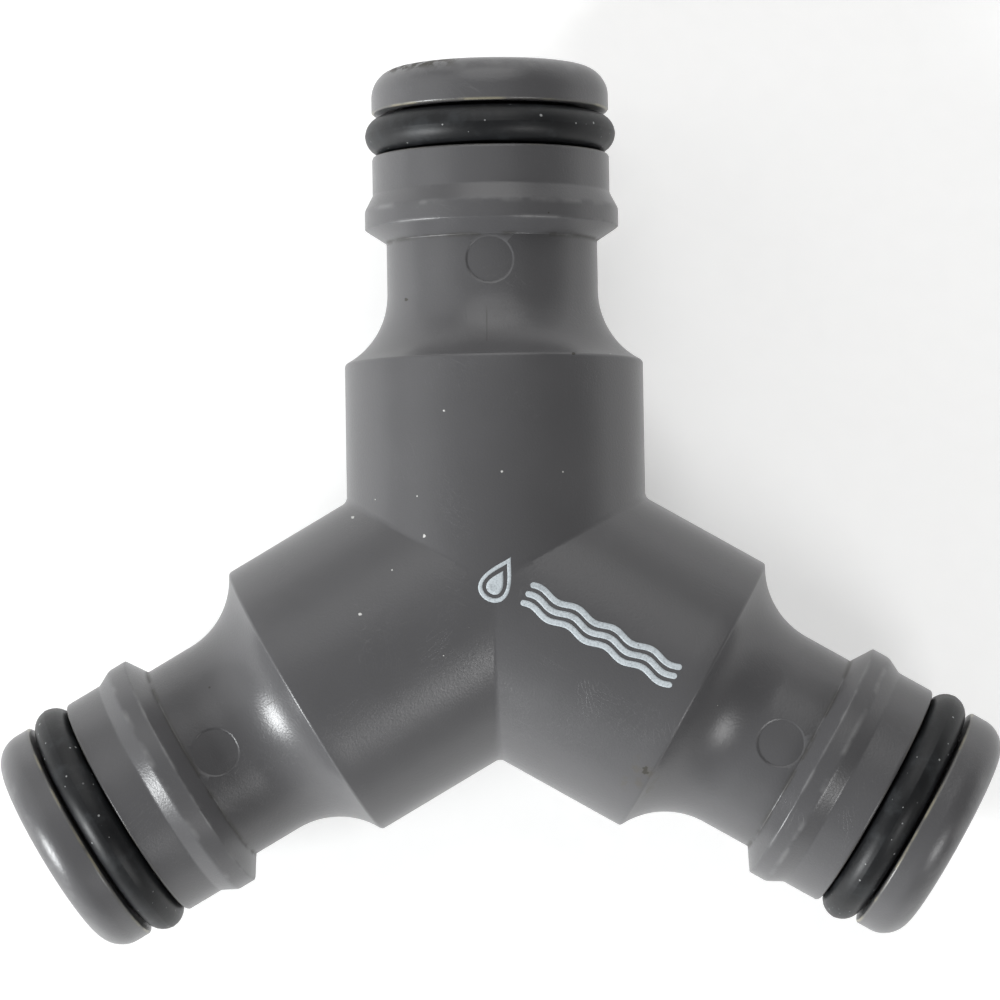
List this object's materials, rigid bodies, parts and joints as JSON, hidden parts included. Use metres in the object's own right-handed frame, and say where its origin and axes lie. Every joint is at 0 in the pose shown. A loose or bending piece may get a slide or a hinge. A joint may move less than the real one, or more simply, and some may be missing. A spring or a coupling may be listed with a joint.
{
  "type": "hose splitter",
  "caption": "Y-shaped hose splitter: equal male quick-connector nipples around a round hub, each with a locking collar, a waist and a rubber O-ring behind its nose.",
  "frame": {"origin": "the point at the middle of the hub where the axes of the waterways cross", "axes": "+Z out of the face with the ejector-pin marks, square to the plane of the Y; +Y out along the inlet nipple; +X towards the right outlet"},
  "size_m": [0.0668, 0.0584, 0.02],
  "materials": {
    "grey_plastic": "satin",
    "black_rubber": "satin",
    "print_ink": "matte"
  },
  "bodies": {
    "root": {"splitter_body": "grey_plastic", "inlet_o_ring": "black_rubber", "left_outlet_o_ring": "black_rubber", "right_outlet_o_ring": "black_rubber"}
  },
  "joints": []
}
